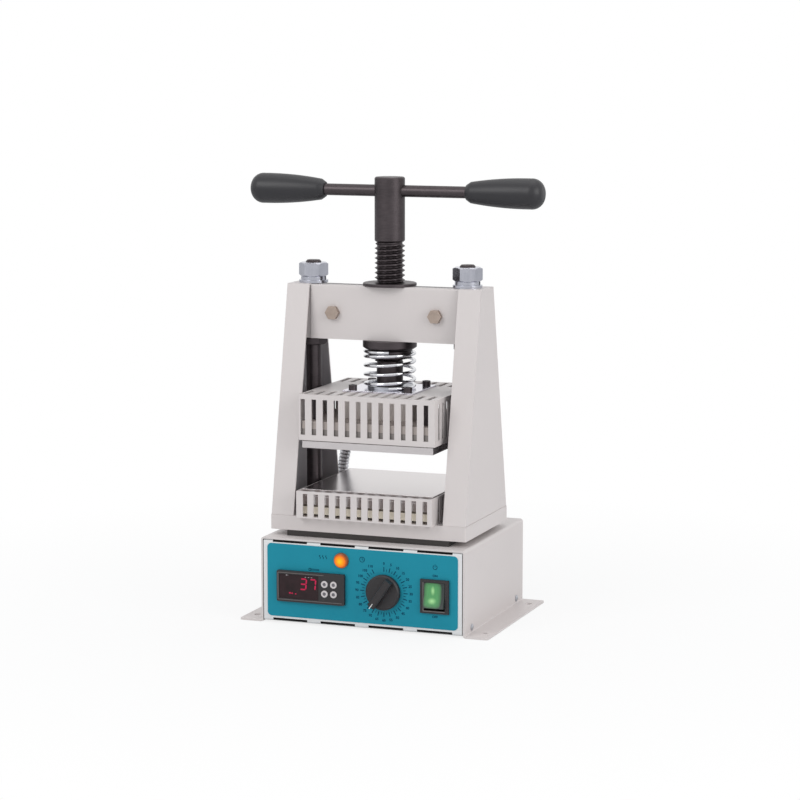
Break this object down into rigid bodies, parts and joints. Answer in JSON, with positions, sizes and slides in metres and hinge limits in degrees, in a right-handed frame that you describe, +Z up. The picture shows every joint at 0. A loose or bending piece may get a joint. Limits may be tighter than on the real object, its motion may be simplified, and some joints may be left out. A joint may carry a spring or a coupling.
{
  "type": "rubber mold vulcanizer",
  "caption": "Bench press with two electrically heated platens, closed by a hand screw with a tommy bar, on a box with a temperature controller, timer and mains switch.",
  "frame": {"origin": "on the bench, in the middle of the four bench screw holes, under the base box", "axes": "+X to the right, +Y to the back, +Z up, seen from the control panel"},
  "size_m": [0.3145, 0.206, 0.4544],
  "materials": {
    "powder_coat": "satin powder coat",
    "panel_paint": "satin powder coat",
    "panel_film": "satin printed film",
    "black_oxide": "oiled black oxide",
    "plated_steel": "bright zinc plate",
    "bolt_steel": "yellowed plate",
    "platen_metal": "fine milled",
    "bright_steel": "ground",
    "spring_steel": "chromed",
    "grip_plastic": "satin",
    "black_plastic": "fine grain",
    "dark_board": "pressed board",
    "ivory_board": "pressed board",
    "mica": "pressed mica",
    "key_white": "moulded",
    "window_plastic": "smoked",
    "lamp_orange": "moulded",
    "rocker_green": "lit, moulded",
    "conduit_grey": "ribbed",
    "brass_metal": "turned",
    "zinc_metal": "zinc plate"
  },
  "bodies": {
    "frame": {"base_cover": "powder_coat", "chassis": "panel_paint", "panel_label": "panel_film", "cover_screws": "zinc_metal", "controller_case": "black_plastic", "controller_window": "window_plastic", "lamp_lens": "lamp_orange", "lamp_body": "black_plastic", "timer_body": "zinc_metal", "panel_nuts": "zinc_metal", "switch_frame": "black_plastic", "inlet_socket": "black_plastic", "fuse_holder": "black_plastic", "terminal_block": "ivory_board", "insulating_spacer": "dark_board", "base_plate": "powder_coat", "plate_screws": "zinc_metal", "tie_rod_left": "black_oxide", "tie_rod_right": "black_oxide", "rod_washers": "plated_steel", "rod_nuts": "plated_steel", "column_cover_left": "powder_coat", "column_cover_right": "powder_coat", "crossbeam": "black_oxide", "beam_cover": "powder_coat", "beam_bolts": "bolt_steel", "screw_nut": "black_oxide", "beam_ring": "black_oxide", "lower_guard": "powder_coat", "lower_platen": "platen_metal", "lower_heater_block": "platen_metal", "lower_heater": "mica", "lower_board": "ivory_board", "lower_platen_fixings": "zinc_metal", "return_spring": "spring_steel", "conduit": "conduit_grey", "conduit_gland": "zinc_metal"},
    "platen": {"upper_platen": "platen_metal", "upper_heater_block": "platen_metal", "upper_heater": "mica", "upper_board": "dark_board", "guard_posts": "plated_steel", "upper_guard": "powder_coat", "thrust_housing": "black_oxide", "thrust_bearing": "bright_steel", "retaining_plate": "bright_steel", "cap_screws": "black_oxide", "spring_seat": "zinc_metal", "conduit_elbow": "zinc_metal"},
    "screw": {"press_screw": "black_oxide"},
    "handle": {"tommy_bar": "black_oxide", "grip_left": "grip_plastic", "grip_right": "grip_plastic"},
    "timer": {"timer_knob": "black_plastic", "timer_shaft": "brass_metal"},
    "rocker": {"switch_rocker": "rocker_green"},
    "key_1": {"controller_key_1": "key_white"},
    "key_2": {"controller_key_2": "key_white"},
    "key_3": {"controller_key_3": "key_white"},
    "key_4": {"controller_key_4": "key_white"}
  },
  "joints": [
    {"name": "platen_slide", "type": "slide", "parent": "frame", "child": "platen", "axis": [0, 0, 1], "range_m": [-0.041, 0.018], "deforming": ["return_spring", "conduit"]},
    {"name": "screw_turn", "type": "hinge", "parent": "platen", "child": "screw", "pos_m": [0, -0.013, 0.35], "axis": [0, 0, 1], "range_deg": [-2951, 1295]},
    {"name": "bar_slide", "type": "slide", "parent": "screw", "child": "handle", "axis": [1, 0, 0], "range_m": [-0.0668, 0.0542]},
    {"name": "timer_turn", "type": "hinge", "parent": "frame", "child": "timer", "pos_m": [0.0243, -0.1, 0.041], "axis": [0, 1, 0], "range_deg": [-215, 115]},
    {"name": "rocker_tilt", "type": "hinge", "parent": "frame", "child": "rocker", "pos_m": [0.07895, -0.091, 0.0406], "axis": [1, 0, 0], "range_deg": [0, 20]},
    {"name": "key_1_press", "type": "slide", "parent": "frame", "child": "key_1", "axis": [0, 1, 0], "range_m": [0, 0.0008], "stiffness_N_per_m": 1500},
    {"name": "key_2_press", "type": "slide", "parent": "frame", "child": "key_2", "axis": [0, 1, 0], "range_m": [0, 0.0008], "stiffness_N_per_m": 1500},
    {"name": "key_3_press", "type": "slide", "parent": "frame", "child": "key_3", "axis": [0, 1, 0], "range_m": [0, 0.0008], "stiffness_N_per_m": 1500},
    {"name": "key_4_press", "type": "slide", "parent": "frame", "child": "key_4", "axis": [0, 1, 0], "range_m": [0, 0.0008], "stiffness_N_per_m": 1500}
  ],
  "couplings": [
    {"joint": "platen_slide", "follows": "screw_turn", "m_per_rad": 0.00079577}
  ]
}
